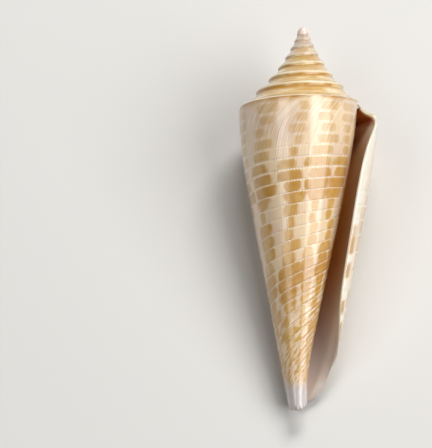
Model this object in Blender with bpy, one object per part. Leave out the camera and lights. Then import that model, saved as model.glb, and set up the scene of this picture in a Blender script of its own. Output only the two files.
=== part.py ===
"""A cone shell of the aculeiformis kind, lying on its back with the aperture up.

The shell is one helical sheet. A turn number says where a place lies on it: turn 0 faces
right, larger turns are older, and the angle round the axis is 360 degrees for each turn.
Depth is measured along the axis from the apex, radius from the axis outwards.
"""
import math

import bmesh
import bpy
from mathutils import Matrix, Vector

MM = 0.001

# The whole shell
LENGTH = 45.0 * MM
LAST_TURN = 8.708            # turn number of the very tip of the spire
APEX_CORE = 0.25             # share of its radius that the spiral starts with
LIP_ANGLE = -6.0             # degrees round the axis where the lip leaves the suture
SPIRE_TURNS = (0.5, 1.0)     # turns over which the last whorl takes on the spire's form
DROOP_TURNS = (0.2, 1.4)     # turns between which the keel hangs lower

# The shoulder keel, which spirals up to the apex
SHOULDER_RADIUS = 8.51 * MM
RADIUS_SHRINK = 0.285        # share lost in each turn back
RADIUS_SHRINK_GAIN = 0.0055
SHOULDER_DEPTH = 10.31 * MM
DEPTH_PER_TURN = 1.781 * MM
DEPTH_EASING = 0.0703 * MM
KEEL_DROOP = 0.33 * MM

# The side of the whorl below the keel
SWELL = 0.12 * MM
SWELL_LENGTH = 0.7 * MM
SPIRE_PINCH = 0.24 * MM
TAPER = 0.206
INNER_TAPER_GAIN = 0.019
INNER_TURNS = (0.6, 1.1)     # turns over which that gain sets in
TAPER_BEND = 6.06 * MM
COLUMELLA_RADIUS = 0.54 * MM
COLUMELLA_BLEND = 0.3 * MM
COLUMELLA_TURNS = (1.6, 2.2)  # turns over which the columella ends

# The ledge between the suture and the keel
STEP_HEIGHT = 0.61 * MM
STEP_SHRINK = 0.16
SPIRE_HOLLOW = 0.08          # how far the old ledges sag, as a share of their drop
LEDGE_HOLLOW = 0.2           # the same for the two youngest
HOLLOW_TURNS = (2.0, 3.0)
SHOULDER_ROUNDING = 0.16 * MM
SPIRE_ROUNDING = 0.16        # share of it on the spire
MOST_ROUNDING = 0.3          # share of a ledge's drop
ROUNDED_FROM = 0.8           # share of the way across where the rounding starts
KEEL_BEAD = 0.1 * MM
BEAD_FROM = 0.6
BEAD_TURNS = (0.9, 1.5)      # turns over which the bead on the keel begins
BEAD_SHRINK = 0.28
ROUND_TURNS = (6.8, 7.8)     # turns over which the keel ends, on the first whorls

# Spiral grooves, by their distance below the keel on the front of the shell
FRONT_TURN = 0.75
FIRST_GROOVE = 5.98 * MM
GROOVE_SPACING = 1.28 * MM
GROOVE_COUNT = 16
GROOVE_DEPTH = 0.07 * MM
GROOVE_RISE = 0.31
LOWER_GROOVE_RISE = 0.43
RISE_REACH = (9.4 * MM, 17.6 * MM)
BASE_SPACING = 1.2 * MM       # rows of the fine cords round the anterior end
LOWEST_LINE = 50.5 * MM

# The lip, by angles round the axis from where it leaves the suture
NOTCH_RETREAT = 6.0          # extra degrees that the lip falls back half-way across the ledge
SHOULDER_RETREAT = 42.0      # degrees that it comes forwards below the keel
SHOULDER_REACH = 0.07        # over this share of its length
LIP_ADVANCE = 32.0           # degrees that its long middle stretch lies forwards
LIP_LENGTH = 34.6 * MM
BASE_RETREAT = 68.0          # degrees that its lower end falls back
BASE_FROM = 0.55
BASE_CURVE = 2.3
MARGIN_ON_LIP = 0.9          # share of the lip's length where the anterior margin cuts it
LIP_FADE = 0.9               # turns behind the lip where the growth lines are straight

# The anterior margin, which rises from the tip towards the lip
MARGIN_SLANT = 3.0 * MM
SLANT_REACH = 0.22           # turns
MARGIN_CORNER = 8.8 * MM
CORNER_REACH = 0.035
TIP_CUT = 0.8 * MM           # how much the columella's end is cut away
TIP_CUT_FROM = 0.65
END_ROUNDING = 0.12 * MM
MARGIN_CLEARANCE = 0.4       # share of a row's spacing that the margin keeps free

# The wall of the last whorl
LIP_THICKNESS = 0.3 * MM
WALL_THICKNESS = 0.8 * MM
WALL_REACH = 0.12            # turns behind the lip where it is reached
ROOT_SHARE = 0.65            # share of the wall's thickness next to the suture
ROOT_REACH = 0.28
NARROW_SHARE = 0.6           # share of a narrow gap that its wall leaves open, from the core out

# The faceting
COLUMNS = 32                 # facets in one turn
CAVITY_COLUMNS = 14
LEDGE_ROWS = (0.0, 0.06, 0.28, 0.62, 0.88, 0.96, 1.0)
SMOOTH_ROWS = (1.23 * MM, 2.6 * MM, 4.0 * MM)
INNER_ROWS = 18
INNER_CROWDING = 1.5         # how much they crowd towards the shoulder
SHARP_ANGLE = 40.0

# How it lies: the middle of the back's flat spot is under the centre of gravity
REST_TILT = 9.7              # degrees that the axis leans, spire up
FLAT_DEPTH = 0.25 * MM

LAST_COLUMN = round((LAST_TURN * 360.0 - LIP_ANGLE) * COLUMNS / 360.0)


def smoothstep(low, high, value):
    """Rises from 0 at low to 1 at high."""
    share = min(max((value - low) / (high - low), 0.0), 1.0)
    return share * share * (3.0 - 2.0 * share)


def arch(share):
    """Rises from 0 to 1 half-way and falls back to 0."""
    share = min(max(share, 0.0), 1.0)
    return 4.0 * share * (1.0 - share)


def shoulder_radius(turn):
    return SHOULDER_RADIUS * math.exp(-RADIUS_SHRINK * turn - RADIUS_SHRINK_GAIN * turn ** 2)


def shoulder_depth(turn):
    return SHOULDER_DEPTH - DEPTH_PER_TURN * turn + DEPTH_EASING * turn ** 2


def side_radius(turn, depth):
    """Radius of the whorl's side, and deep inside of the columella, at a depth."""
    below = depth - shoulder_depth(turn)
    swell = SWELL - SPIRE_PINCH * smoothstep(*SPIRE_TURNS, turn)
    taper = TAPER + INNER_TAPER_GAIN * smoothstep(*INNER_TURNS, turn)
    radius = shoulder_radius(turn) + swell * (1.0 - math.exp(-below / SWELL_LENGTH))
    radius -= taper * (math.hypot(below, TAPER_BEND) - TAPER_BEND)
    core = 1.0 - smoothstep(*COLUMELLA_TURNS, turn)
    limit = core * COLUMELLA_RADIUS
    return 0.5 * (radius + limit + math.hypot(radius - limit, core * COLUMELLA_BLEND))


def suture_point(turn):
    """Radius and depth of the suture at the foot of a whorl's step."""
    if turn > LAST_TURN:
        radius, depth = suture_point(LAST_TURN)
        left = APEX_CORE + (1.0 - APEX_CORE) * max(LAST_TURN + 1.0 - turn, 0.0)
        return radius * left, depth * left
    step = STEP_HEIGHT * math.exp(-STEP_SHRINK * turn)
    step *= 1.0 - smoothstep(LAST_TURN - 1.0, LAST_TURN, turn)
    depth = shoulder_depth(turn) + step
    return side_radius(turn, depth), depth


def ledge_point(turn, across):
    """Radius and depth on the ledge, from the suture (across 0) to the keel (across 1)."""
    inner_radius, inner_depth = suture_point(turn + 1.0)
    width = shoulder_radius(turn) - inner_radius
    droop = KEEL_DROOP * arch((turn - DROOP_TURNS[0]) / (DROOP_TURNS[1] - DROOP_TURNS[0]))
    drop = shoulder_depth(turn) + droop - inner_depth
    young = 1.0 - smoothstep(*SPIRE_TURNS, turn)
    hollow = LEDGE_HOLLOW + (SPIRE_HOLLOW - LEDGE_HOLLOW) * smoothstep(*HOLLOW_TURNS, turn)
    rounding = SHOULDER_ROUNDING * (SPIRE_ROUNDING + (1.0 - SPIRE_ROUNDING) * young)
    rounding = min(rounding, MOST_ROUNDING * drop)
    edge = max((across - ROUNDED_FROM) / (1.0 - ROUNDED_FROM), 0.0)
    depth = (drop - rounding) * (across + hollow * arch(across)) + rounding * edge ** 2
    bead = KEEL_BEAD * smoothstep(*BEAD_TURNS, turn) * math.exp(-BEAD_SHRINK * turn)
    depth -= bead * arch((across - BEAD_FROM) / (1.0 - BEAD_FROM))
    radius = width * across
    # the first whorls are round, without a keel
    round_share = smoothstep(*ROUND_TURNS, turn)
    quarter = 0.5 * math.pi * across
    radius += round_share * (width * math.sin(quarter) - radius)
    depth += round_share * (drop * (1.0 - math.cos(quarter)) - depth)
    return inner_radius + radius, inner_depth + depth


def line_depth(turn, distance):
    """Depth of the spiral line that lies at a distance below the keel on the front."""
    rise = GROOVE_RISE + (LOWER_GROOVE_RISE - GROOVE_RISE) * smoothstep(*RISE_REACH, distance)
    return shoulder_depth(turn) + distance * math.exp(-rise * (turn - FRONT_TURN))


def margin_depth(turn):
    """Depth of the anterior margin at a turn."""
    slant = MARGIN_SLANT * math.exp(-turn / SLANT_REACH)
    corner = MARGIN_CORNER * math.exp(-turn / CORNER_REACH)
    return LENGTH - slant - corner - TIP_CUT * smoothstep(TIP_CUT_FROM, 1.0, turn)


def ledge_shift(across):
    """Degrees of the lip's edge on the ledge, which forms a shallow notch."""
    return (SHOULDER_RETREAT - LIP_ADVANCE) * across + NOTCH_RETREAT * arch(across)


def lip_shift(down):
    """Degrees of the lip's edge on the side, at a share of the lip's length."""
    down = min(down, MARGIN_ON_LIP)
    shoulder = SHOULDER_RETREAT * math.exp(-down / SHOULDER_REACH)
    base = max(down - BASE_FROM, 0.0) / (MARGIN_ON_LIP - BASE_FROM)
    return shoulder - LIP_ADVANCE + BASE_RETREAT * base ** BASE_CURVE


def side_shift(distance):
    return lip_shift((line_depth(0.0, distance) - SHOULDER_DEPTH) / LIP_LENGTH)


def column_turn(column, shift):
    """Turn number of a mesh column whose growth line is shifted by some degrees."""
    behind = column / COLUMNS
    fade = max(1.0 - behind / LIP_FADE, 0.0) ** 2
    return (LIP_ANGLE + shift * fade) / 360.0 + behind


def margin_point(column):
    """Turn and depth where a mesh column meets the anterior margin."""
    turn = column_turn(column, lip_shift(MARGIN_ON_LIP))
    return turn, margin_depth(turn)


def body_lines():
    """Distances of the mesh rows below the suture, each with its groove depth."""
    lines = [(distance, 0.0) for distance in SMOOTH_ROWS]
    for groove in range(GROOVE_COUNT):
        distance = FIRST_GROOVE + groove * GROOVE_SPACING
        lines.append((distance - 0.5 * GROOVE_SPACING, 0.0))
        lines.append((distance, GROOVE_DEPTH))
    while distance < LOWEST_LINE:
        distance += BASE_SPACING
        lines.append((distance, 0.0))
        distance += BASE_SPACING
        lines.append((distance, GROOVE_DEPTH))
    return lines


def add_point(mesh, turn, radius, depth):
    angle = 2.0 * math.pi * turn
    return mesh.verts.new((radius * math.cos(angle), radius * math.sin(angle), -depth))


def ledge_columns(mesh):
    """Vertices of the ledge, from the suture to the keel, for every column of the spire."""
    columns = []
    for column in range(LAST_COLUMN + 1):
        vertices = []
        for across in LEDGE_ROWS:
            turn = column_turn(column, ledge_shift(across))
            vertices.append(add_point(mesh, turn, *ledge_point(turn, across)))
        columns.append(vertices)
    return columns


def side_columns(mesh, ledges):
    """Vertices of the side, from the suture below the keel to the anterior margin.

    A line that would run out below the margin shares the margin's own vertex.
    """
    lines = body_lines()
    columns = []
    for column in range(COLUMNS + CAVITY_COLUMNS + 1):
        if column < COLUMNS:
            turn = column_turn(column, 0.0)
            vertices = [add_point(mesh, turn, *suture_point(turn))]
        else:
            vertices = [ledges[column - COLUMNS][0]]
        margin_turn, margin = margin_point(column)
        reached = False
        previous = shoulder_depth(column_turn(column, 0.0))
        for distance, hollow in lines:
            if reached:
                vertices.append(vertices[-1])
                continue
            turn = column_turn(column, side_shift(distance))
            depth = line_depth(turn, distance)
            reached = depth > margin - MARGIN_CLEARANCE * (depth - previous)
            previous = depth
            if reached:
                radius = side_radius(margin_turn, margin) - END_ROUNDING
                vertices.append(add_point(mesh, margin_turn, radius, margin))
            else:
                vertices.append(add_point(mesh, turn, side_radius(turn, depth) - hollow, depth))
        columns.append(vertices)
    return columns


def inner_columns(mesh, sides):
    """Vertices of the last whorl's inner wall, from its root to the anterior margin."""
    columns = []
    for column in range(CAVITY_COLUMNS + 1):
        vertices = [sides[column + COLUMNS][1]]
        behind = column / COLUMNS
        margin = margin_point(column)[1]
        wall = LIP_THICKNESS + (WALL_THICKNESS - LIP_THICKNESS) * smoothstep(0.0, WALL_REACH, behind)
        for across in LEDGE_ROWS[1:]:
            turn = column_turn(column, ledge_shift(across))
            radius, depth = ledge_point(turn, across)
            radius -= wall * across ** 4
            depth += wall * (ROOT_SHARE + (1.0 - ROOT_SHARE) * smoothstep(0.0, ROOT_REACH, across))
            vertices.append(add_point(mesh, turn, radius, depth))
        for row in range(1, INNER_ROWS + 1):
            share = (row / INNER_ROWS) ** INNER_CROWDING
            turn = column_turn(column, lip_shift(share * MARGIN_ON_LIP))
            top = shoulder_depth(turn) + wall
            depth = top + (margin - top) * share
            vertices.append(add_point(mesh, turn, inner_radius(turn, depth, wall), depth))
        columns.append(vertices)
    return columns


def inner_radius(turn, depth, wall):
    """Radius of the inner wall, which leaves the cavity open also where it is narrow."""
    outside = side_radius(turn, depth)
    core = side_radius(turn + 1.0, depth)
    gap = outside - core
    return core + max(gap - wall, NARROW_SHARE * gap)


def add_face(mesh, corners):
    """A face between corners, of which neighbours may be the same vertex."""
    loop = [corner for index, corner in enumerate(corners) if corner is not corners[index - 1]]
    if len(loop) > 2:
        mesh.faces.new(loop)


def join_columns(mesh, left, right, first_row=0):
    for row in range(first_row, len(left) - 1):
        add_face(mesh, (left[row], right[row], right[row + 1], left[row + 1]))


def zip_edges(mesh, left, right):
    """Triangles between two rows of vertices that need not have the same number."""
    left = [vertex for index, vertex in enumerate(left) if index == 0 or vertex is not left[index - 1]]
    right = [vertex for index, vertex in enumerate(right) if index == 0 or vertex is not right[index - 1]]
    left_length = running_lengths(left)
    right_length = running_lengths(right)
    at_left, at_right = 0, 0
    while at_left < len(left) - 1 or at_right < len(right) - 1:
        left_done = at_left == len(left) - 1
        right_done = at_right == len(right) - 1
        if right_done or (not left_done and left_length[at_left + 1] <= right_length[at_right + 1]):
            add_face(mesh, (left[at_left], left[at_left + 1], right[at_right]))
            at_left += 1
        else:
            add_face(mesh, (left[at_left], right[at_right + 1], right[at_right]))
            at_right += 1


def running_lengths(vertices):
    """Distance along a row of vertices, as a share of its whole length."""
    lengths = [0.0]
    for before, after in zip(vertices, vertices[1:]):
        lengths.append(lengths[-1] + (after.co - before.co).length)
    return [length / lengths[-1] for length in lengths]


def build_sheet(mesh):
    """The closed skin of the whole shell, in its own frame with the apex up."""
    ledges = ledge_columns(mesh)
    sides = side_columns(mesh, ledges)
    inners = inner_columns(mesh, sides)

    for column in range(LAST_COLUMN):
        join_columns(mesh, ledges[column], ledges[column + 1])
        foot = suture_vertices(column, ledges, sides)
        add_face(mesh, (ledges[column][-1], ledges[column + 1][-1], foot[1], foot[0]))
    for column in range(COLUMNS + CAVITY_COLUMNS):
        first_row = 0 if column < COLUMNS else 1
        join_columns(mesh, sides[column], sides[column + 1], first_row)
    for column in range(CAVITY_COLUMNS):
        join_columns(mesh, inners[column], inners[column + 1])

    lip = ledges[0] + sides[0]
    zip_edges(mesh, lip, [ledges[0][0]] + inners[0])
    zip_edges(mesh, sides[COLUMNS + CAVITY_COLUMNS][1:], inners[CAVITY_COLUMNS])
    outer_margin = [vertices[-1] for vertices in sides]
    inner_margin = [vertices[-1] for vertices in inners]
    zip_edges(mesh, outer_margin[:CAVITY_COLUMNS + 1], inner_margin)
    tip = mesh.faces.new(outer_margin[CAVITY_COLUMNS:] + [inner_margin[-1]])

    spire_end = [vertices[0] for vertices in ledges[LAST_COLUMN - COLUMNS:]]
    apex = mesh.faces.new(spire_end + ledges[LAST_COLUMN][1:])
    bmesh.ops.triangulate(mesh, faces=[tip, apex])
    bmesh.ops.recalc_face_normals(mesh, faces=mesh.faces)


def suture_vertices(column, ledges, sides):
    """The two suture vertices at the foot of a step, between a column and the next."""
    feet = []
    for place in (column, column + 1):
        feet.append(sides[place][0] if place < COLUMNS else ledges[place - COLUMNS][0])
    return feet


def wear_flat(mesh, rotation):
    """Cuts the resting spot on the back flat and closes the cut."""
    down = rotation.inverted() @ Vector((0.0, 0.0, -1.0))
    reach = max(vertex.co.dot(down) for vertex in mesh.verts)
    plane_point = down * (reach - FLAT_DEPTH)
    everything = list(mesh.verts) + list(mesh.edges) + list(mesh.faces)
    bmesh.ops.bisect_plane(
        mesh, geom=everything, plane_co=plane_point, plane_no=down, clear_outer=True)
    rim = [edge for edge in mesh.edges if edge.is_boundary]
    bmesh.ops.holes_fill(mesh, edges=rim, sides=0)


def shell_material():
    material = bpy.data.materials.new("porcelain_shell")
    material.use_nodes = True
    surface = material.node_tree.nodes["Principled BSDF"]
    surface.inputs["Base Color"].default_value = (0.75, 0.60, 0.42, 1.0)
    surface.inputs["Roughness"].default_value = 0.3
    surface.inputs["Metallic"].default_value = 0.0
    return material


def make_shell(collection):
    mesh = bmesh.new()
    build_sheet(mesh)
    rotation = Matrix.Rotation(math.radians(REST_TILT - 90.0), 3, "X")
    wear_flat(mesh, rotation)
    data = bpy.data.meshes.new("shell")
    mesh.to_mesh(data)
    mesh.free()
    data.shade_smooth()
    data.set_sharp_from_angle(angle=math.radians(SHARP_ANGLE))
    data.materials.append(shell_material())

    shell = bpy.data.objects.new("shell", data)
    collection.objects.link(shell)
    corners = [rotation @ vertex.co for vertex in data.vertices]
    low = [min(corner[axis] for corner in corners) for axis in range(3)]
    high = [max(corner[axis] for corner in corners) for axis in range(3)]
    shell.rotation_euler = rotation.to_euler()
    shell.location = (-0.5 * (low[0] + high[0]), -0.5 * (low[1] + high[1]), -low[2])
    return shell


def main():
    for old in list(bpy.data.objects):
        bpy.data.objects.remove(old, do_unlink=True)
    collection = bpy.data.collections.new("cone_shell")
    bpy.context.scene.collection.children.link(collection)
    make_shell(collection)


main()
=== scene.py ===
"""The looks of a cone shell of the aculeiformis kind, lying on its back on a pale floor.

The fine surface follows the same formulas as the solid that it replaces. The shell is one
helical sheet: turn 0 faces right, larger turns are older, depth is measured along the axis
from the apex and radius from the axis outwards. Every face corner carries its place on that
sheet, and the material draws the markings from those places.
"""
import math

import bmesh
import bpy
from mathutils import Matrix, Vector

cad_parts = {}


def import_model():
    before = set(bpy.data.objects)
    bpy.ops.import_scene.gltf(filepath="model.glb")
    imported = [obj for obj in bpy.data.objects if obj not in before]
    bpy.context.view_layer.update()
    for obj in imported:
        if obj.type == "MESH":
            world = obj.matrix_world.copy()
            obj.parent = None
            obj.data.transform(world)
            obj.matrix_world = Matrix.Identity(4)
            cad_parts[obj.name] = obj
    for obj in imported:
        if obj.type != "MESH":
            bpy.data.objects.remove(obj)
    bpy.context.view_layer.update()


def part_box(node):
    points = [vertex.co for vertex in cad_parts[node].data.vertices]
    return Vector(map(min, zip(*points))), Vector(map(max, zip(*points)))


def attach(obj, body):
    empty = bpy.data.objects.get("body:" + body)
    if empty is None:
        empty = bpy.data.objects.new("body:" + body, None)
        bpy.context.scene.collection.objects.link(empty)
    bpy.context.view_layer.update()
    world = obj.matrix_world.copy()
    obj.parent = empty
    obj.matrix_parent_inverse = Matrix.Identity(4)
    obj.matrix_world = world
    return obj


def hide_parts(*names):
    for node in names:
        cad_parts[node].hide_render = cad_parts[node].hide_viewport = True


def linear(red, green, blue):
    """A colour given as on a screen, from 0 to 255, in the shader's own units."""
    shares = [value / 255.0 for value in (red, green, blue)]
    channels = [share / 12.92 if share < 0.04 else ((share + 0.055) / 1.055) ** 2.4 for share in shares]
    return (*channels, 1.0)


MM = 0.001

# The whole shell
LENGTH = 45.0 * MM
LAST_TURN = 8.708            # turn number of the very tip of the spire
APEX_CORE = 0.25             # share of its radius that the spiral starts with
LIP_ANGLE = -6.0             # degrees round the axis where the lip leaves the suture
SPIRE_TURNS = (0.5, 1.0)     # turns over which the last whorl takes on the spire's form
DROOP_TURNS = (0.2, 1.4)     # turns between which the keel hangs lower

# The shoulder keel, which spirals up to the apex
SHOULDER_RADIUS = 8.51 * MM
RADIUS_SHRINK = 0.285        # share lost in each turn back
RADIUS_SHRINK_GAIN = 0.0055
SHOULDER_DEPTH = 10.31 * MM
DEPTH_PER_TURN = 1.781 * MM
DEPTH_EASING = 0.0703 * MM
KEEL_DROOP = 0.33 * MM

# The side of the whorl below the keel
SWELL = 0.12 * MM
SWELL_LENGTH = 0.7 * MM
SPIRE_PINCH = 0.24 * MM
TAPER = 0.206
INNER_TAPER_GAIN = 0.019
INNER_TURNS = (0.6, 1.1)     # turns over which that gain sets in
TAPER_BEND = 6.06 * MM
COLUMELLA_RADIUS = 0.54 * MM
COLUMELLA_BLEND = 0.3 * MM
COLUMELLA_TURNS = (1.6, 2.2)  # turns over which the columella ends

# The ledge between the suture and the keel
STEP_HEIGHT = 0.61 * MM
STEP_SHRINK = 0.16
SPIRE_HOLLOW = 0.08          # how far the old ledges sag, as a share of their drop
LEDGE_HOLLOW = 0.2           # the same for the two youngest
HOLLOW_TURNS = (2.0, 3.0)
SHOULDER_ROUNDING = 0.16 * MM
SPIRE_ROUNDING = 0.16        # share of it on the spire
MOST_ROUNDING = 0.3          # share of a ledge's drop
ROUNDED_FROM = 0.8           # share of the way across where the rounding starts
KEEL_BEAD = 0.1 * MM
BEAD_FROM = 0.6
BEAD_TURNS = (0.9, 1.5)      # turns over which the bead on the keel begins
BEAD_SHRINK = 0.28
ROUND_TURNS = (6.8, 7.8)     # turns over which the keel ends, on the first whorls

# Spiral grooves, by their distance below the keel on the front of the shell
FRONT_TURN = 0.75
FIRST_GROOVE = 5.98 * MM
GROOVE_SPACING = 1.28 * MM
GROOVE_COUNT = 35
GROOVE_DEPTH = 0.021 * MM
GROOVE_RISE = 0.31
LOWER_GROOVE_RISE = 0.43
RISE_REACH = (9.4 * MM, 17.6 * MM)

# The lip, by angles round the axis from where it leaves the suture
NOTCH_RETREAT = 6.0          # extra degrees that the lip falls back half-way across the ledge
SHOULDER_RETREAT = 42.0      # degrees that it comes forwards below the keel
SHOULDER_REACH = 0.07        # over this share of its length
LIP_ADVANCE = 32.0           # degrees that its long middle stretch lies forwards
LIP_LENGTH = 34.6 * MM
BASE_RETREAT = 68.0          # degrees that its lower end falls back
BASE_FROM = 0.55
BASE_CURVE = 2.3
MARGIN_ON_LIP = 0.9          # share of the lip's length where the anterior margin cuts it
LIP_FADE = 0.9               # turns behind the lip where the growth lines are straight

# The anterior margin, which rises from the tip towards the lip
MARGIN_SLANT = 3.0 * MM
SLANT_REACH = 0.22           # turns
MARGIN_CORNER = 8.8 * MM
CORNER_REACH = 0.035         # turns
TIP_CUT = 0.8 * MM           # how much the columella's end is cut away
TIP_CUT_FROM = 0.65          # turns, where the cut begins
END_ROUNDING = 0.12 * MM
MARGIN_CLEARANCE = 0.4       # share of a row's spacing that the margin keeps free

# The wall of the last whorl
LIP_THICKNESS = 0.3 * MM
WALL_THICKNESS = 0.8 * MM
WALL_REACH = 0.12            # turns behind the lip where it is reached
ROOT_SHARE = 0.65            # share of the wall's thickness next to the suture
ROOT_REACH = 0.28
WALL_CROWDING = 4.0          # how late across the ledge the wall's side sets in
NARROW_SHARE = 0.6           # share of a narrow gap that its wall leaves open, from the core out

# How it lies: the back's flat spot is under the centre of gravity
REST_TILT = 9.7              # degrees that the axis leans, spire up
FLAT_DEPTH = 0.25 * MM

# The faceting
COLUMNS = 144                # facets in one turn
CAVITY_COLUMNS = 63
LEDGE_STEPS = 18
RISER_STEPS = 4
ROOT_DISTANCE = 1.23 * MM    # from the keel to the root of the inner wall
SMOOTH_ROWS = 7              # rows above the first groove
INNER_ROWS = 60
INNER_CROWDING = 1.5         # how much they crowd towards the shoulder
LAST_COLUMN = round((LAST_TURN * 360.0 - LIP_ANGLE) * COLUMNS / 360.0)

# Relief of the mesh. Grooves are narrower and shallower here than on the solid.
GROOVE_HALF_WIDTH = 0.11 * MM
GROOVE_SHOULDER = 0.2 * MM   # from the middle, where the rib is level
DEEPENING_GROOVES = (-1.0, 2.0)  # numbers of the grooves over which they reach their depth
CORD_HOLLOW = 0.03 * MM      # between the cords of the lower half
CORD_GROOVES = (8.0, 14.0)   # numbers of the grooves over which these cords set in
SMOOTH_END = (39.5, 42.0)    # depths in millimetres over which all relief fades out
LEDGE_CORDS = 3.5            # cords on a ledge
CORD_HEIGHT = 0.05 * MM

# A layer of noise has its bumps for each unit across and along, its seed and its detail.
# Across are turns, and along are millimetres below the keel or rows between grooves.
# A pair of edges says where a layer begins and where it is full.

# Relief that is finer than the mesh, with heights and depths in millimetres
STRIAE = (190.0, 0.2, 8.0, 2.0)
STRIA_EDGES = (0.4, 0.75)
STRIA_HEIGHT = 0.06
STRIA_REACH = 3.6            # millimetres below the keel that the growth lines lean over
STRIA_FADE = (3.0, 11.0)     # millimetres below the keel where they become faint
FAINT_STRIAE = 0.2
GROOVES_BEGIN = (4.5, 7.0)   # millimetres below the keel
PIT_DEPTH = 0.04
PITS_PER_TURN = 110.0
PIT_WIDTH = (0.04, 0.12)     # share of a row, from the middle of the groove
THREAD_HEIGHT = 0.03
THREADS_PER_ROW = 2.0
THREADS_BEGIN = (17.0, 23.0)  # millimetres below the keel

# The ground of the side
CLOUDS = (7.0, 0.16, 1.0, 1.0)
CLOUD_EDGES = (0.35, 0.65)
# painted highlights: white streaks along the growth striae, standing in for the glints they catch
PAINTED_STRIA_GLINTS = (100.0, 0.25, 2.0, 3.0)
PAINTED_STRIA_GLINT_EDGES = (0.5, 0.7)
PAINTED_STRIA_GLINT_FADE = (2.0, 12.0)    # millimetres below the keel
PAINTED_STRIA_GLINT_STRENGTH = 0.5

# The dashes, which crowd into two bands: their middle and reach in millimetres below the keel
UPPER_BAND = (10.0, 3.4)
LOWER_BAND = (20.6, 4.2)
DASHES_PER_TURN = 11.0
DASH_SLANT = 0.004           # turns that the dashes of a row are shifted by
DRIFTS = (6.0, 0.45, 3.0, 1.0)
DASH_DRIFT = 1.3             # columns that a stack of dashes may wander
BREADTHS = (0.9, 0.7, 4.0, 1.0)  # bumps for each stack and row
BREADTH_SHARE = 0.75
PATCHES = (5.0, 0.16, 6.0, 1.0)
PATCH_SHARE = 0.45
WOBBLES = (50.0, 1.1, 14.0, 1.0)
WOBBLE_SHARE = 0.16
BAND_SHARE = 0.24
DASH_GAP = 0.41
DASH_ROUNDING = 0.1          # how much narrower a dash is next to a groove
DASH_EDGES = (-0.06, 0.1)
ROWS_CLOSE_UP = (7.0, 12.0)  # millimetres below the keel where the dashes grow to the grooves
HIGH_DASH_ENDS = (0.56, 0.94)  # from the middle of a row, where 1 is the groove
LOW_DASH_ENDS = (0.86, 1.04)
DASHES_BEGIN = (0.012, 0.03)  # turns behind the lip
DASH_FADE = (23.0, 29.0)     # millimetres below the keel
FADED_DASHES = 0.55

# The dashes' tint and strength
TINTS = (40.0, 0.8, 5.0, 2.0)
TINT_EDGES = (0.4, 1.0)
BAND_TINT = 0.45             # how much more of the brown the bands have
DASH_STRENGTH = (0.3, 0.7)
LOWER_STRENGTH = 0.4         # added on the lower rows
STRONGER_FROM = (4.0, 9.0)   # millimetres below the keel

# Tan streaks on the cords, glints in the grooves and smudges under the keel
CORD_STREAKS = (16.0, 2.6, 10.0, 3.0)
CORD_STREAK_EDGES = (0.46, 0.58)
CORD_STREAKS_BEGIN = (20.0, 27.0)  # millimetres below the keel
GLINTS = (70.0, 0.9, 13.0, 2.0)
GLINT_EDGES = (0.42, 0.6)
GLINT_WIDTH = (0.02, 0.06)   # share of a row, from the middle of the groove
GLINT_STRENGTH = 0.5
SMUDGES = (8.0, 0.0, 12.0, 1.0)
SMUDGE_EDGES = (0.42, 0.55)
SMUDGE_FADE = (0.2, 1.3)     # millimetres below the keel

# The outside of the lip
LIP_PALE = (0.012, 0.05)     # turns behind the lip
LIP_PALENESS = 0.8
STAINS = (1.0, 0.8, 11.0, 1.0)
STAIN_EDGES = (0.42, 0.54)
STAIN_PLACE = (0.01, 0.022)  # middle and reach in turns behind the lip
STAINS_BEGIN = (8.0, 12.0)   # millimetres below the keel

# The ledges, in shares of their width, and the steps under the old keels
LEDGE_BLOTCHES = (9.0, 1.5, 6.0, 2.0)
LEDGE_BLOTCH_EDGES = (0.3, 0.5)
CORD_PALENESS = 0.4
# painted shade: brown in the crease along the suture, varied by the blotches
SUTURE_SHADE_FADE = (0.03, 0.24)
SUTURE_SHADE_STRENGTH = (0.7, 1.2)
KEEL_PALE = (0.82, 0.93)
KEEL_PALENESS = 0.55
KEEL_EDGE = (0.0, 0.05)      # millimetres below the keel
RISER_BLOTCHES = (11.0, 1.0, 7.0, 2.0)
RISER_BLOTCH_EDGES = (0.25, 0.55)
RISER_TAN = (0.1, 0.35)      # millimetres below the keel
RISER_FOOT = (0.62, 0.75)    # millimetres below the keel
SPIRE_BEGINS = (0.97, 1.0)   # turns behind the lip

# The inside, in turns behind the lip, and where the last whorl has covered the older side. Its tan and
# brown are painted shade that deepens into the aperture.
SOFT_SHADE_TURNS = (0.03, 0.12)
DEEP_SHADE_TURNS = (0.07, 0.19)
NOTCH_BAND = (0.0, 1.5)      # millimetres below the keel
NOTCH_BAND_BEGINS = (0.004, 0.02)
MAUVE_DEPTHS = (26.0, 40.0)  # millimetres
MAUVE_STRENGTH = 0.85
INNER_EDGE = (0.3, 0.7)      # share of the way over the lip's edge
COVERED_TURNS = (1.02, 1.05)
COVERED_LINES = (0.7, 1.0)   # millimetres below the keel

# The two ends
TIP_DEPTHS = (40.8, 42.8)    # millimetres
TIP_STRENGTH = 0.85
PALE_TURNS = (4.0, 5.6)
PALE_STRENGTH = 0.6
FIRST_TURNS = (6.6, 7.4)

# The gloss
GLOSS = (60.0, 0.5, 9.0, 2.0)
ROUGHNESS = (0.22, 0.4)
INNER_COAT = 0.15            # the outside has a full one
COAT_INDEX = 1.6
COAT_ROUGHNESS = 0.14
SUBSURFACE = 0.25
SUBSURFACE_REACH = (1.0, 0.5, 0.25)  # millimetres, for red, green and blue

# Colours as on a screen
CREAM = linear(238, 212, 174)
ROSE = linear(230, 202, 174)
PALE = linear(240, 218, 172)
WHITE = linear(252, 244, 228)
GOLD = linear(206, 160, 76)
BROWN = linear(194, 142, 54)
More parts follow.
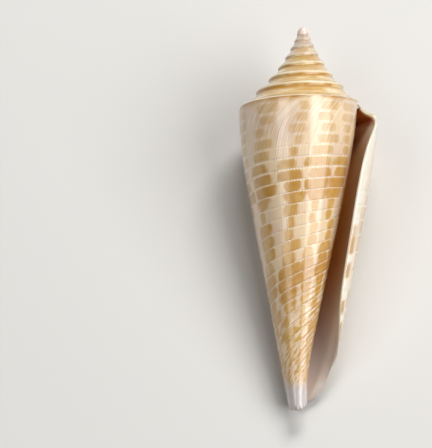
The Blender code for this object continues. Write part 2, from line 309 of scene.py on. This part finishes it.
# painted shade inside the aperture: first soft, then deep
PAINTED_SOFT_SHADE = linear(236, 212, 160)
PAINTED_DEEP_SHADE = linear(204, 128, 58)
ORANGE = linear(196, 124, 52)
MAUVE = linear(196, 184, 176)
TIP_GREY = linear(202, 198, 200)
FIRST_WHORLS = linear(226, 208, 196)
FLOOR_COLOUR = linear(212, 210, 206)
WORLD_COLOUR = linear(240, 243, 250)

# The camera, for a picture of 432 by 448 points
CAMERA_LENS = 200.0
SENSOR_WIDTH = 36.0
CAMERA_DROP = 8.0            # degrees that it looks from the anterior end
CAMERA_ROLL = 0.477          # degrees
CAMERA_PLACE = Vector((-10.58, -85.16, 270.34)) * MM

# The floor
FLOOR_SIZE = 4.0             # metres
FLOOR_ROUGHNESS = 0.7

# The lights, in degrees to the side and to the spire, width and height in metres, and watts
LIGHT_CENTRE = Vector((0.0, 0.0, 10.0)) * MM
LIGHT_DISTANCE = 0.45
RIGHT_LIGHT = (42.0, 8.0, (0.34, 0.40), 1.7)
LEFT_LIGHT = (-34.0, 8.0, (0.18, 0.40), 0.48)
SPIRE_LIGHT = (10.0, 60.0, (0.24, 0.14), 1.5)
WORLD_STRENGTH = 0.04


def smoothstep(low, high, value):
    """Rises from 0 at low to 1 at high."""
    share = min(max((value - low) / (high - low), 0.0), 1.0)
    return share * share * (3.0 - 2.0 * share)


def arch(share):
    """Rises from 0 to 1 half-way and falls back to 0."""
    share = min(max(share, 0.0), 1.0)
    return 4.0 * share * (1.0 - share)


def shoulder_radius(turn):
    return SHOULDER_RADIUS * math.exp(-RADIUS_SHRINK * turn - RADIUS_SHRINK_GAIN * turn ** 2)


def shoulder_depth(turn):
    return SHOULDER_DEPTH - DEPTH_PER_TURN * turn + DEPTH_EASING * turn ** 2


def side_radius(turn, depth):
    """Radius of the whorl's side, and deep inside of the columella, at a depth."""
    below = depth - shoulder_depth(turn)
    swell = SWELL - SPIRE_PINCH * smoothstep(*SPIRE_TURNS, turn)
    taper = TAPER + INNER_TAPER_GAIN * smoothstep(*INNER_TURNS, turn)
    radius = shoulder_radius(turn) + swell * (1.0 - math.exp(-below / SWELL_LENGTH))
    radius -= taper * (math.hypot(below, TAPER_BEND) - TAPER_BEND)
    core = 1.0 - smoothstep(*COLUMELLA_TURNS, turn)
    limit = core * COLUMELLA_RADIUS
    return 0.5 * (radius + limit + math.hypot(radius - limit, core * COLUMELLA_BLEND))


def suture_point(turn):
    """Radius and depth of the suture at the foot of a whorl's step."""
    if turn > LAST_TURN:
        radius, depth = suture_point(LAST_TURN)
        left = APEX_CORE + (1.0 - APEX_CORE) * max(LAST_TURN + 1.0 - turn, 0.0)
        return radius * left, depth * left
    step = STEP_HEIGHT * math.exp(-STEP_SHRINK * turn)
    step *= 1.0 - smoothstep(LAST_TURN - 1.0, LAST_TURN, turn)
    depth = shoulder_depth(turn) + step
    return side_radius(turn, depth), depth


def ledge_point(turn, across):
    """Radius and depth on the ledge, from the suture (across 0) to the keel (across 1)."""
    inner_radius, inner_depth = suture_point(turn + 1.0)
    width = shoulder_radius(turn) - inner_radius
    droop = KEEL_DROOP * arch((turn - DROOP_TURNS[0]) / (DROOP_TURNS[1] - DROOP_TURNS[0]))
    drop = shoulder_depth(turn) + droop - inner_depth
    young = 1.0 - smoothstep(*SPIRE_TURNS, turn)
    hollow = LEDGE_HOLLOW + (SPIRE_HOLLOW - LEDGE_HOLLOW) * smoothstep(*HOLLOW_TURNS, turn)
    rounding = SHOULDER_ROUNDING * (SPIRE_ROUNDING + (1.0 - SPIRE_ROUNDING) * young)
    rounding = min(rounding, MOST_ROUNDING * drop)
    edge = max((across - ROUNDED_FROM) / (1.0 - ROUNDED_FROM), 0.0)
    depth = (drop - rounding) * (across + hollow * arch(across)) + rounding * edge ** 2
    bead = KEEL_BEAD * smoothstep(*BEAD_TURNS, turn) * math.exp(-BEAD_SHRINK * turn)
    depth -= bead * arch((across - BEAD_FROM) / (1.0 - BEAD_FROM))
    radius = width * across
    # the first whorls are round, without a keel
    round_share = smoothstep(*ROUND_TURNS, turn)
    quarter = 0.5 * math.pi * across
    radius += round_share * (width * math.sin(quarter) - radius)
    depth += round_share * (drop * (1.0 - math.cos(quarter)) - depth)
    return inner_radius + radius, inner_depth + depth


def line_depth(turn, distance):
    """Depth of the spiral line that lies at a distance below the keel on the front."""
    rise = GROOVE_RISE + (LOWER_GROOVE_RISE - GROOVE_RISE) * smoothstep(*RISE_REACH, distance)
    return shoulder_depth(turn) + distance * math.exp(-rise * (turn - FRONT_TURN))


def margin_depth(turn):
    """Depth of the anterior margin at a turn."""
    slant = MARGIN_SLANT * math.exp(-turn / SLANT_REACH)
    corner = MARGIN_CORNER * math.exp(-turn / CORNER_REACH)
    return LENGTH - slant - corner - TIP_CUT * smoothstep(TIP_CUT_FROM, 1.0, turn)


def ledge_shift(across):
    """Degrees of the lip's edge on the ledge, which forms a shallow notch."""
    return (SHOULDER_RETREAT - LIP_ADVANCE) * across + NOTCH_RETREAT * arch(across)


def lip_shift(down):
    """Degrees of the lip's edge on the side, at a share of the lip's length."""
    down = min(down, MARGIN_ON_LIP)
    shoulder = SHOULDER_RETREAT * math.exp(-down / SHOULDER_REACH)
    base = max(down - BASE_FROM, 0.0) / (MARGIN_ON_LIP - BASE_FROM)
    return shoulder - LIP_ADVANCE + BASE_RETREAT * base ** BASE_CURVE


def side_shift(distance):
    return lip_shift((line_depth(0.0, distance) - SHOULDER_DEPTH) / LIP_LENGTH)


def column_turn(column, shift):
    """Turn number of a mesh column whose growth line is shifted by some degrees."""
    behind = column / COLUMNS
    fade = max(1.0 - behind / LIP_FADE, 0.0) ** 2
    return (LIP_ANGLE + shift * fade) / 360.0 + behind


def margin_point(column):
    """Turn and depth where a mesh column meets the anterior margin."""
    turn = column_turn(column, lip_shift(MARGIN_ON_LIP))
    return turn, margin_depth(turn)


def groove_rows(groove, hollow):
    """The mesh rows of one groove and of the rib before it, which may be parted in two cords."""
    middle = FIRST_GROOVE + groove * GROOVE_SPACING
    parting = CORD_HOLLOW * smoothstep(*CORD_GROOVES, groove)
    return [
        (middle - 0.5 * GROOVE_SPACING, parting),
        (middle - GROOVE_SHOULDER, 0.0),
        (middle - GROOVE_HALF_WIDTH, 0.0),
        (middle, hollow),
        (middle + GROOVE_HALF_WIDTH, 0.0),
        (middle + GROOVE_SHOULDER, 0.0),
    ]


def side_rows():
    """Distances of the mesh rows below the suture, each with its groove depth."""
    rows = [(ROOT_DISTANCE, 0.0)]
    for row in range(1, SMOOTH_ROWS):
        distance = ROOT_DISTANCE + (FIRST_GROOVE - 0.5 * GROOVE_SPACING - ROOT_DISTANCE) * row / SMOOTH_ROWS
        rows.append((distance, 0.0))
    for groove in range(GROOVE_COUNT):
        rows += groove_rows(groove, GROOVE_DEPTH * smoothstep(*DEEPENING_GROOVES, groove))
    return rows


class Sheet:
    """Vertices and faces of the skin, with the place on the sheet of each face corner.

    A spot is a vertex number with its place: how far below the keel, the turn, the growth
    line, whether it lies on the inner wall, and the depth.
    """

    def __init__(self):
        self.vertices = []
        self.faces = []
        self.places = []

    def spot(self, turn, radius, depth, line, growth, inner=0.0):
        angle = 2.0 * math.pi * turn
        self.vertices.append((radius * math.cos(angle), radius * math.sin(angle), -depth))
        return len(self.vertices) - 1, (line, turn, growth, inner, depth)

    def moved(self, spot, line, turn, growth, inner=0.0):
        """The same vertex, seen as a place of another part of the sheet."""
        return spot[0], (line, turn, growth, inner, spot[1][-1])

    def face(self, corners):
        """A face between spots, of which neighbours may be the same vertex."""
        loop = [corner for index, corner in enumerate(corners) if corner[0] != corners[index - 1][0]]
        if len(loop) > 2:
            self.faces.append([corner[0] for corner in loop])
            self.places += [corner[1] for corner in loop]

    def join(self, left, right, first_row=0):
        for row in range(first_row, len(left) - 1):
            self.face((left[row], right[row], right[row + 1], left[row + 1]))

    def running_lengths(self, spots):
        """Distance along a row of spots, as a share of its whole length."""
        lengths = [0.0]
        for before, after in zip(spots, spots[1:]):
            step = math.dist(self.vertices[before[0]], self.vertices[after[0]])
            lengths.append(lengths[-1] + step)
        return [length / lengths[-1] for length in lengths]

    def zip_edges(self, left, right):
        """Triangles between two rows of spots that need not have the same number."""
        left_length = self.running_lengths(left)
        right_length = self.running_lengths(right)
        at_left, at_right = 0, 0
        while at_left < len(left) - 1 or at_right < len(right) - 1:
            left_done = at_left == len(left) - 1
            right_done = at_right == len(right) - 1
            if right_done or (not left_done and left_length[at_left + 1] <= right_length[at_right + 1]):
                self.face((left[at_left], left[at_left + 1], right[at_right]))
                at_left += 1
            else:
                self.face((left[at_left], right[at_right + 1], right[at_right]))
                at_right += 1


def cord_height(turn, across):
    """Height of the fine spiral cords on the ledge."""
    wave = 0.5 - 0.5 * math.cos(2.0 * math.pi * LEDGE_CORDS * across)
    return CORD_HEIGHT * wave * smoothstep(1.0, ROUNDED_FROM, across) * math.exp(-BEAD_SHRINK * turn)


def ledge_columns(sheet):
    """Spots of the ledge, from the suture to the keel, for every column of the spire."""
    columns = []
    for column in range(LAST_COLUMN + 1):
        spots = []
        for row in range(LEDGE_STEPS + 1):
            across = 0.5 - 0.5 * math.cos(math.pi * row / LEDGE_STEPS)
            turn = column_turn(column, ledge_shift(across))
            radius, depth = ledge_point(turn, across)
            depth -= cord_height(turn, across)
            spots.append(sheet.spot(turn, radius, depth, across - 1.0, column / COLUMNS))
        columns.append(spots)
    return columns


def riser_columns(sheet, ledges):
    """Spots of the step below the keel, from the keel down to the suture at its foot."""
    columns = []
    for column in range(LAST_COLUMN + 1):
        growth = column / COLUMNS
        keel_turn = column_turn(column, ledge_shift(1.0))
        spots = [sheet.moved(ledges[column][-1], 0.0, keel_turn, growth)]
        foot_turn = column_turn(column, 0.0)
        foot_radius, foot_depth = suture_point(foot_turn)
        keel_depth = spots[0][1][-1]
        for row in range(1, RISER_STEPS):
            share = row / RISER_STEPS
            turn = keel_turn + (foot_turn - keel_turn) * share
            depth = keel_depth + share * (foot_depth - keel_depth)
            spots.append(sheet.spot(turn, side_radius(turn, depth), depth, share * STEP_HEIGHT, growth))
        if column < COLUMNS:
            spots.append(sheet.spot(foot_turn, foot_radius, foot_depth, STEP_HEIGHT, growth))
        else:
            spots.append(sheet.moved(ledges[column - COLUMNS][0], STEP_HEIGHT, foot_turn, growth))
        columns.append(spots)
    return columns


def side_columns(sheet, risers):
    """Spots of the side, from the foot of the step to the anterior margin.

    A line that would run out below the margin shares the margin's own vertex.
    """
    rows = side_rows()
    columns = []
    for column in range(COLUMNS + CAVITY_COLUMNS + 1):
        growth = column / COLUMNS
        spots = [risers[column][-1]]
        margin_turn, margin = margin_point(column)
        margin_reached = False
        previous = shoulder_depth(column_turn(column, 0.0))
        for distance, hollow in rows:
            if margin_reached:
                spots.append(spots[-1])
                continue
            turn = column_turn(column, side_shift(distance))
            depth = line_depth(turn, distance)
            margin_reached = depth > margin - MARGIN_CLEARANCE * (depth - previous)
            previous = depth
            if margin_reached:
                radius = side_radius(margin_turn, margin) - END_ROUNDING
                spots.append(sheet.spot(margin_turn, radius, margin, distance, growth))
            else:
                radius = side_radius(turn, depth) - hollow * (1.0 - smoothstep(*SMOOTH_END, depth / MM))
                spots.append(sheet.spot(turn, radius, depth, distance, growth))
        columns.append(spots)
    return columns


def inner_radius(turn, depth, wall):
    """Radius of the inner wall, which leaves the cavity open also where it is narrow."""
    outside = side_radius(turn, depth)
    core = side_radius(turn + 1.0, depth)
    gap = outside - core
    return core + max(gap - wall, NARROW_SHARE * gap)


def inner_columns(sheet, sides):
    """Spots of the last whorl's inner wall, from its root to the anterior margin."""
    columns = []
    for column in range(CAVITY_COLUMNS + 1):
        growth = column / COLUMNS
        spots = [sheet.moved(sides[column + COLUMNS][1], -1.0, growth, growth, 1.0)]
        margin = margin_point(column)[1]
        wall = LIP_THICKNESS + (WALL_THICKNESS - LIP_THICKNESS) * smoothstep(0.0, WALL_REACH, growth)
        for row in range(1, LEDGE_STEPS + 1):
            across = row / LEDGE_STEPS
            turn = column_turn(column, ledge_shift(across))
            radius, depth = ledge_point(turn, across)
            radius -= wall * across ** WALL_CROWDING
            depth += wall * (ROOT_SHARE + (1.0 - ROOT_SHARE) * smoothstep(0.0, ROOT_REACH, across))
            spots.append(sheet.spot(turn, radius, depth, across - 1.0, growth, 1.0))
        for row in range(1, INNER_ROWS + 1):
            share = (row / INNER_ROWS) ** INNER_CROWDING
            turn = column_turn(column, lip_shift(share * MARGIN_ON_LIP))
            top = shoulder_depth(turn) + wall
            depth = top + (margin - top) * share
            radius = inner_radius(turn, depth, wall)
            spots.append(sheet.spot(turn, radius, depth, depth - shoulder_depth(turn), growth, 1.0))
        columns.append(spots)
    return columns


def distinct(spots):
    """The spots of a row, without those that share the vertex before them."""
    return [spot for index, spot in enumerate(spots) if index == 0 or spot[0] != spots[index - 1][0]]


def build_sheet():
    """The closed skin of the whole shell, in its own frame with the apex up."""
    sheet = Sheet()
    ledges = ledge_columns(sheet)
    risers = riser_columns(sheet, ledges)
    sides = side_columns(sheet, risers)
    inners = inner_columns(sheet, sides)

    for column in range(LAST_COLUMN):
        sheet.join(ledges[column], ledges[column + 1])
        sheet.join(risers[column], risers[column + 1])
    for column in range(COLUMNS + CAVITY_COLUMNS):
        sheet.join(sides[column], sides[column + 1], 0 if column < COLUMNS else 1)
    for column in range(CAVITY_COLUMNS):
        sheet.join(inners[column], inners[column + 1])

    lip = distinct(ledges[0] + risers[0] + sides[0])
    sheet.zip_edges(lip, [ledges[0][0]] + inners[0])
    sheet.zip_edges(distinct(sides[COLUMNS + CAVITY_COLUMNS][1:]), inners[CAVITY_COLUMNS])
    outer_margin = distinct([spots[-1] for spots in sides])
    inner_margin = distinct([spots[-1] for spots in inners])
    sheet.zip_edges(outer_margin[:CAVITY_COLUMNS + 1], inner_margin)
    sheet.face(outer_margin[CAVITY_COLUMNS:] + [inner_margin[-1]])

    spire_end = [spots[0] for spots in ledges[LAST_COLUMN - COLUMNS:]]
    sheet.face(distinct(spire_end + ledges[LAST_COLUMN][1:]))
    return sheet


def place_sheet(sheet):
    """The vertices in the frame, on the resting spot that is worn flat."""
    rotation = Matrix.Rotation(math.radians(REST_TILT - 90.0), 3, "X")
    turned = [rotation @ Vector(vertex) for vertex in sheet.vertices]
    low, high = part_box("shell")
    middle_x = 0.5 * (min(v.x for v in turned) + max(v.x for v in turned))
    middle_y = 0.5 * (min(v.y for v in turned) + max(v.y for v in turned))
    floor = min(v.z for v in turned) + FLAT_DEPTH
    move = Vector((0.5 * (low[0] + high[0]) - middle_x, 0.5 * (low[1] + high[1]) - middle_y, -floor))
    return [(v.x + move.x, v.y + move.y, max(v.z + move.z, 0.0)) for v in turned]


def write_places(data, sheet):
    """Gives the mesh the places of its face corners, with lengths in millimetres."""
    for index, name in enumerate(("line", "turn", "growth", "inner", "depth")):
        values = [place[index] for place in sheet.places]
        if name in ("line", "depth"):
            # a place on the ledge, below 0, is a share of its width
            values = [value / MM if value > 0.0 else value for value in values]
        attribute = data.attributes.new(name, "FLOAT", "CORNER")
        attribute.data.foreach_set("value", values)


def make_shell():
    sheet = build_sheet()
    data = bpy.data.meshes.new("cone_shell")
    data.from_pydata(place_sheet(sheet), [], sheet.faces)
    write_places(data, sheet)
    shell = bpy.data.objects.new("cone_shell", data)
    bpy.context.scene.collection.objects.link(shell)
    skin = bmesh.new()
    skin.from_mesh(data)
    bmesh.ops.recalc_face_normals(skin, faces=skin.faces)
    skin.to_mesh(data)
    skin.free()
    data.shade_smooth()
    data.materials.append(shell_material())
    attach(shell, "root")
    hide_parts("shell")


def feed(tree, socket, value):
    """Links a field or a node's output to a socket, or sets the socket to a plain value."""
    if isinstance(value, Field):
        value = value.socket
    if isinstance(value, bpy.types.NodeSocket):
        tree.links.new(value, socket)
    else:
        socket.default_value = value


class Field:
    """A number that varies over the surface, whose arithmetic makes the nodes for it."""

    def __init__(self, tree, socket):
        self.tree = tree
        self.socket = socket

    def combine(self, operation, *others):
        node = self.tree.nodes.new("ShaderNodeMath")
        node.operation = operation
        for socket, value in zip(node.inputs, (self,) + others):
            feed(self.tree, socket, value)
        return Field(self.tree, node.outputs[0])

    def __add__(self, other):
        return self.combine("ADD", other)

    def __sub__(self, other):
        return self.combine("SUBTRACT", other)

    def __mul__(self, other):
        return self.combine("MULTIPLY", other)

    def __truediv__(self, other):
        return self.combine("DIVIDE", other)

    def floor(self):
        return self.combine("FLOOR")

    def distance(self, other):
        return (self - other).combine("ABSOLUTE")

    def between(self, low, high):
        """Goes from low, where this is 0, to high, where this is 1."""
        return self * (high - low) + low

    def inverse(self):
        return self.between(1.0, 0.0)

    def rise(self, low, high):
        """Rises smoothly from 0 at low to 1 at high."""
        node = self.tree.nodes.new("ShaderNodeMapRange")
        node.interpolation_type = "SMOOTHSTEP"
        feed(self.tree, node.inputs["Value"], self)
        feed(self.tree, node.inputs["From Min"], low)
        feed(self.tree, node.inputs["From Max"], high)
        return Field(self.tree, node.outputs["Result"])

    def fall(self, low, high):
        return self.rise(low, high).inverse()

    def peak(self, middle, reach):
        """1 in the middle, and 0 at its reach to both sides."""
        return self.distance(middle).fall(0.0, reach)

    def wave(self, count=1.0):
        """Goes from 0 to 1 and back, count times for each unit."""
        return (self * (2.0 * math.pi * count)).combine("COSINE") * -0.5 + 0.5


def read_place(tree, name):
    node = tree.nodes.new("ShaderNodeAttribute")
    node.attribute_name = name
    return Field(tree, node.outputs["Fac"])


def noise(across, along, layer):
    """Smooth noise from 0 to 1, with a layer's bumps for each unit across and along."""
    bumps_across, bumps_along, seed, detail = layer
    tree = across.tree
    place = tree.nodes.new("ShaderNodeCombineXYZ")
    feed(tree, place.inputs[0], across * bumps_across)
    feed(tree, place.inputs[1], along * bumps_along)
    feed(tree, place.inputs[2], seed)
    node = tree.nodes.new("ShaderNodeTexNoise")
    feed(tree, node.inputs["Vector"], place.outputs[0])
    node.inputs["Scale"].default_value = 1.0
    node.inputs["Detail"].default_value = detail
    return Field(tree, node.outputs["Fac"])


def blend(share, under, over):
    """The colour over on the colour under, where share is 1."""
    node = share.tree.nodes.new("ShaderNodeMix")
    node.data_type = "RGBA"
    feed(share.tree, node.inputs[0], share)
    feed(share.tree, node.inputs[6], under)
    feed(share.tree, node.inputs[7], over)
    return node.outputs[2]


class Places:
    """The fields that every layer of the shell's material reads.

    A row reaches from the middle of one groove to the next, and in_row goes from 0 to 1 in it.
    """

    def __init__(self, tree):
        self.line = read_place(tree, "line")
        self.turn = read_place(tree, "turn")
        self.growth = read_place(tree, "growth")
        self.inner = read_place(tree, "inner")
        self.depth = read_place(tree, "depth")
        self.row = (self.line - FIRST_GROOVE / MM) / (GROOVE_SPACING / MM)
        self.row_number = self.row.floor()
        self.in_row = self.row - self.row_number
        self.from_groove = self.in_row.distance(0.5) * -1.0 + 0.5
        self.spire = self.growth.rise(*SPIRE_BEGINS)
        lean = (self.line * (-1.0 / STRIA_REACH)).combine("EXPONENT") * (SHOULDER_RETREAT / 360.0)
        self.stria = self.turn - lean
        self.below_keel = self.line.rise(*KEEL_EDGE)


def ground_colour(places):
    """Cream clouds with fine white streaks along the growth lines, which are painted highlights on the
    striae.
    """
    line = places.line
    clouds = noise(places.growth, line, CLOUDS).rise(*CLOUD_EDGES)
    # painted highlights: white glints along the growth striae
    streaks = noise(places.stria, line, PAINTED_STRIA_GLINTS).rise(*PAINTED_STRIA_GLINT_EDGES)
    return blend(streaks * line.fall(*PAINTED_STRIA_GLINT_FADE) * PAINTED_STRIA_GLINT_STRENGTH, blend(clouds, CREAM, ROSE), WHITE)


def dash_share(places, band):
    """Where the golden dashes are: one row to each groove, stacked in loose columns."""
    growth, line, row_number = places.growth, places.line, places.row_number
    drift = noise(growth, row_number, DRIFTS)
    stack = (places.turn + row_number * DASH_SLANT) * DASHES_PER_TURN + drift * DASH_DRIFT
    stack_number = stack.floor()
    from_middle = (stack - stack_number).distance(0.5)
    breadth = noise(stack_number, row_number, BREADTHS) * BREADTH_SHARE
    breadth = breadth + noise(growth, row_number, PATCHES) * PATCH_SHARE
    breadth = breadth + noise(growth, line, WOBBLES) * WOBBLE_SHARE
    breadth = breadth + band * BAND_SHARE - DASH_GAP
    from_row = places.in_row.distance(0.5) * 2.0
    rounding = from_row * from_row * from_row * DASH_ROUNDING
    dashes = (breadth - from_middle - rounding).rise(*DASH_EDGES)
    low = line.rise(*ROWS_CLOSE_UP)
    ends = [low.between(*pair) for pair in zip(HIGH_DASH_ENDS, LOW_DASH_ENDS)]
    dashes = dashes * from_row.fall(*ends)
    return dashes * growth.rise(*DASHES_BEGIN) * line.rise(*DASH_FADE).between(1.0, FADED_DASHES)


def add_dashes(places, colour):
    line = places.line
    band = line.peak(*UPPER_BAND) + line.peak(*LOWER_BAND)
    tints = noise(places.growth, line, TINTS)
    tint = blend((band * BAND_TINT + tints).rise(*TINT_EDGES), GOLD, BROWN)
    strength = tints.between(*DASH_STRENGTH) + line.rise(*STRONGER_FROM) * LOWER_STRENGTH
    return blend(dash_share(places, band) * strength, colour, tint)


def add_lines(places, colour):
    """Tan streaks on the cords, glints in the grooves and smudges under the keel."""
    growth, line = places.growth, places.line
    cord_streaks = noise(growth, places.row, CORD_STREAKS).rise(*CORD_STREAK_EDGES)
    colour = blend(cord_streaks * line.rise(*CORD_STREAKS_BEGIN), colour, GOLD)
    glints = noise(growth, places.row_number, GLINTS).rise(*GLINT_EDGES)
    glints = glints * places.from_groove.fall(*GLINT_WIDTH) * line.rise(*GROOVES_BEGIN)
    colour = blend(glints * GLINT_STRENGTH, colour, WHITE)
    smudges = noise(growth, line, SMUDGES).rise(*SMUDGE_EDGES)
    return blend(smudges * line.fall(*SMUDGE_FADE), colour, BROWN)


def add_lip(places, colour):
    """The pale strip behind the lip's edge, with its row of brown stains."""
    growth = places.growth
    colour = blend(growth.fall(*LIP_PALE) * LIP_PALENESS, colour, WHITE)
    stains = noise(growth, places.row, STAINS).rise(*STAIN_EDGES)
    stains = stains * growth.peak(*STAIN_PLACE) * places.line.rise(*STAINS_BEGIN)
    return blend(stains, colour, BROWN)


def side_colour(places):
    """The side of the last whorl, down to its grey tip, and of the covered one behind it, which is painted
    in deep shade.
    """
    colour = add_dashes(places, ground_colour(places))
    colour = add_lip(places, add_lines(places, colour))
    # painted shade: the older side covered by the last whorl lies deep in the aperture and is painted brown
    covered = places.growth.rise(*COVERED_TURNS) * places.line.rise(*COVERED_LINES)
    colour = blend(covered, colour, PAINTED_DEEP_SHADE)
    return blend(places.depth.rise(*TIP_DEPTHS) * TIP_STRENGTH, colour, TIP_GREY)


def ledge_colour(places):
    """Pale and tan cords, painted shade in brown along the suture's crease, and pale on the keel."""
    across = places.line + 1.0
    blotches = noise(places.growth, across, LEDGE_BLOTCHES)
    colour = blend(blotches.rise(*LEDGE_BLOTCH_EDGES), PALE, GOLD)
    colour = blend(across.wave(LEDGE_CORDS) * CORD_PALENESS, colour, PALE)
    # painted shade in the suture's crease
    colour = blend(across.fall(*SUTURE_SHADE_FADE) * blotches.between(*SUTURE_SHADE_STRENGTH), colour, BROWN)
    return blend(across.rise(*KEEL_PALE) * KEEL_PALENESS, colour, WHITE)


def riser_colour(places):
    """The step under an old keel: pale at its top and tan at its foot."""
    blotches = noise(places.growth, places.line, RISER_BLOTCHES).rise(*RISER_BLOTCH_EDGES)
    return blend(places.line.rise(*RISER_TAN) * blotches, PALE, BROWN)


def inner_colour(places):
    """White at the lip's edge, then tan and brown as painted shade deepening behind it, and grey at the
    anterior end.
    """
    growth = places.growth
    # painted shade: tan, then brown, deeper into the aperture
    colour = blend(growth.rise(*SOFT_SHADE_TURNS), WHITE, PAINTED_SOFT_SHADE)
    colour = blend(growth.rise(*DEEP_SHADE_TURNS), colour, PAINTED_DEEP_SHADE)
    notch_band = places.line.fall(*NOTCH_BAND) * growth.rise(*NOTCH_BAND_BEGINS)
    colour = blend(notch_band, colour, ORANGE)
    return blend(places.depth.rise(*MAUVE_DEPTHS) * MAUVE_STRENGTH, colour, MAUVE)


def shell_colour(places):
    on_riser = places.spire * places.line.fall(*RISER_FOOT)
    below = blend(on_riser, side_colour(places), riser_colour(places))
    colour = blend(places.below_keel, ledge_colour(places), below)
    colour = blend(places.turn.rise(*PALE_TURNS) * PALE_STRENGTH, colour, FIRST_WHORLS)
    colour = blend(places.turn.rise(*FIRST_TURNS), colour, FIRST_WHORLS)
    return blend(places.inner.rise(*INNER_EDGE), colour, inner_colour(places))


def shell_relief(places):
    """Height in millimetres of what is finer than the mesh."""
    line = places.line
    striae = noise(places.stria, line, STRIAE).rise(*STRIA_EDGES)
    height = striae * line.fall(*STRIA_FADE).between(FAINT_STRIAE, 1.0) * STRIA_HEIGHT
    pits = places.from_groove.fall(*PIT_WIDTH) * places.growth.wave(PITS_PER_TURN)
    height = height - pits * line.rise(*GROOVES_BEGIN) * PIT_DEPTH
    height = height + places.in_row.wave(THREADS_PER_ROW) * line.rise(*THREADS_BEGIN) * THREAD_HEIGHT
    outside = places.inner.inverse() * places.turn.fall(*FIRST_TURNS)
    return height * outside * places.depth.fall(*SMOOTH_END)


def shell_material():
    material = bpy.data.materials.new("porcelain_shell")
    material.use_nodes = True
    tree = material.node_tree
    surface = tree.nodes["Principled BSDF"]
    places = Places(tree)
    feed(tree, surface.inputs["Base Color"], shell_colour(places))
    gloss = noise(places.growth, places.line, GLOSS)
    feed(tree, surface.inputs["Roughness"], gloss.between(*ROUGHNESS))
    feed(tree, surface.inputs["Coat Weight"], places.inner.between(1.0, INNER_COAT))
    surface.inputs["Coat IOR"].default_value = COAT_INDEX
    surface.inputs["Coat Roughness"].default_value = COAT_ROUGHNESS
    surface.inputs["Subsurface Weight"].default_value = SUBSURFACE
    surface.inputs["Subsurface Radius"].default_value = SUBSURFACE_REACH
    surface.inputs["Subsurface Scale"].default_value = MM
    bump = tree.nodes.new("ShaderNodeBump")
    bump.inputs["Distance"].default_value = MM
    feed(tree, bump.inputs["Height"], shell_relief(places))
    tree.links.new(bump.outputs["Normal"], surface.inputs["Normal"])
    return material


def plain_material(name, colour, roughness):
    material = bpy.data.materials.new(name)
    material.use_nodes = True
    surface = material.node_tree.nodes["Principled BSDF"]
    surface.inputs["Base Color"].default_value = colour
    surface.inputs["Roughness"].default_value = roughness
    return material


def make_floor():
    bpy.ops.mesh.primitive_plane_add(size=FLOOR_SIZE)
    floor = bpy.context.object
    floor.name = "floor"
    floor.data.materials.append(plain_material("pale_floor", FLOOR_COLOUR, FLOOR_ROUGHNESS))


def view_axes():
    """Right, up and towards the camera, for the photograph's view of the tilted shell."""
    lean = Matrix.Rotation(math.radians(REST_TILT - 90.0), 3, "X")
    drop = math.radians(CAMERA_DROP)
    toward = lean @ Vector((0.0, -math.cos(drop), -math.sin(drop)))
    right = lean @ Vector((1.0, 0.0, 0.0))
    up = toward.cross(right)
    roll = math.radians(CAMERA_ROLL)
    return (right * math.cos(roll) + up * math.sin(roll),
            up * math.cos(roll) - right * math.sin(roll), toward)


def make_camera():
    data = bpy.data.cameras.new("camera")
    data.lens = CAMERA_LENS
    data.sensor_width = SENSOR_WIDTH
    data.sensor_fit = "HORIZONTAL"
    camera = bpy.data.objects.new("camera", data)
    bpy.context.scene.collection.objects.link(camera)
    turn = Matrix(view_axes()).transposed().to_4x4()
    camera.matrix_world = Matrix.Translation(CAMERA_PLACE) @ turn
    bpy.context.scene.camera = camera


def make_softbox(name, side_angle, end_angle, size, power):
    """An area light round the shell's long axis, by its angles from the camera's direction."""
    right, up, toward = view_axes()
    aim = Matrix.Rotation(math.radians(side_angle), 3, up) @ toward
    aim = Matrix.Rotation(math.radians(-end_angle), 3, right) @ aim
    data = bpy.data.lights.new(name, "AREA")
    data.shape = "RECTANGLE"
    data.size, data.size_y = size
    data.energy = power
    light = bpy.data.objects.new(name, data)
    bpy.context.scene.collection.objects.link(light)
    across = up.cross(aim).normalized()
    turn = Matrix((across, aim.cross(across), aim)).transposed().to_4x4()
    light.matrix_world = Matrix.Translation(LIGHT_CENTRE + aim * LIGHT_DISTANCE) @ turn


def make_lights():
    make_softbox("right_softbox", *RIGHT_LIGHT)
    make_softbox("left_softbox", *LEFT_LIGHT)
    make_softbox("spire_softbox", *SPIRE_LIGHT)
    bpy.context.scene.view_settings.view_transform = "Standard"
    world = bpy.data.worlds.new("studio")
    bpy.context.scene.world = world
    world.use_nodes = True
    background = world.node_tree.nodes["Background"]
    background.inputs["Color"].default_value = WORLD_COLOUR
    background.inputs["Strength"].default_value = WORLD_STRENGTH


def main():
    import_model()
    make_shell()
    make_floor()
    make_camera()
    make_lights()


main()
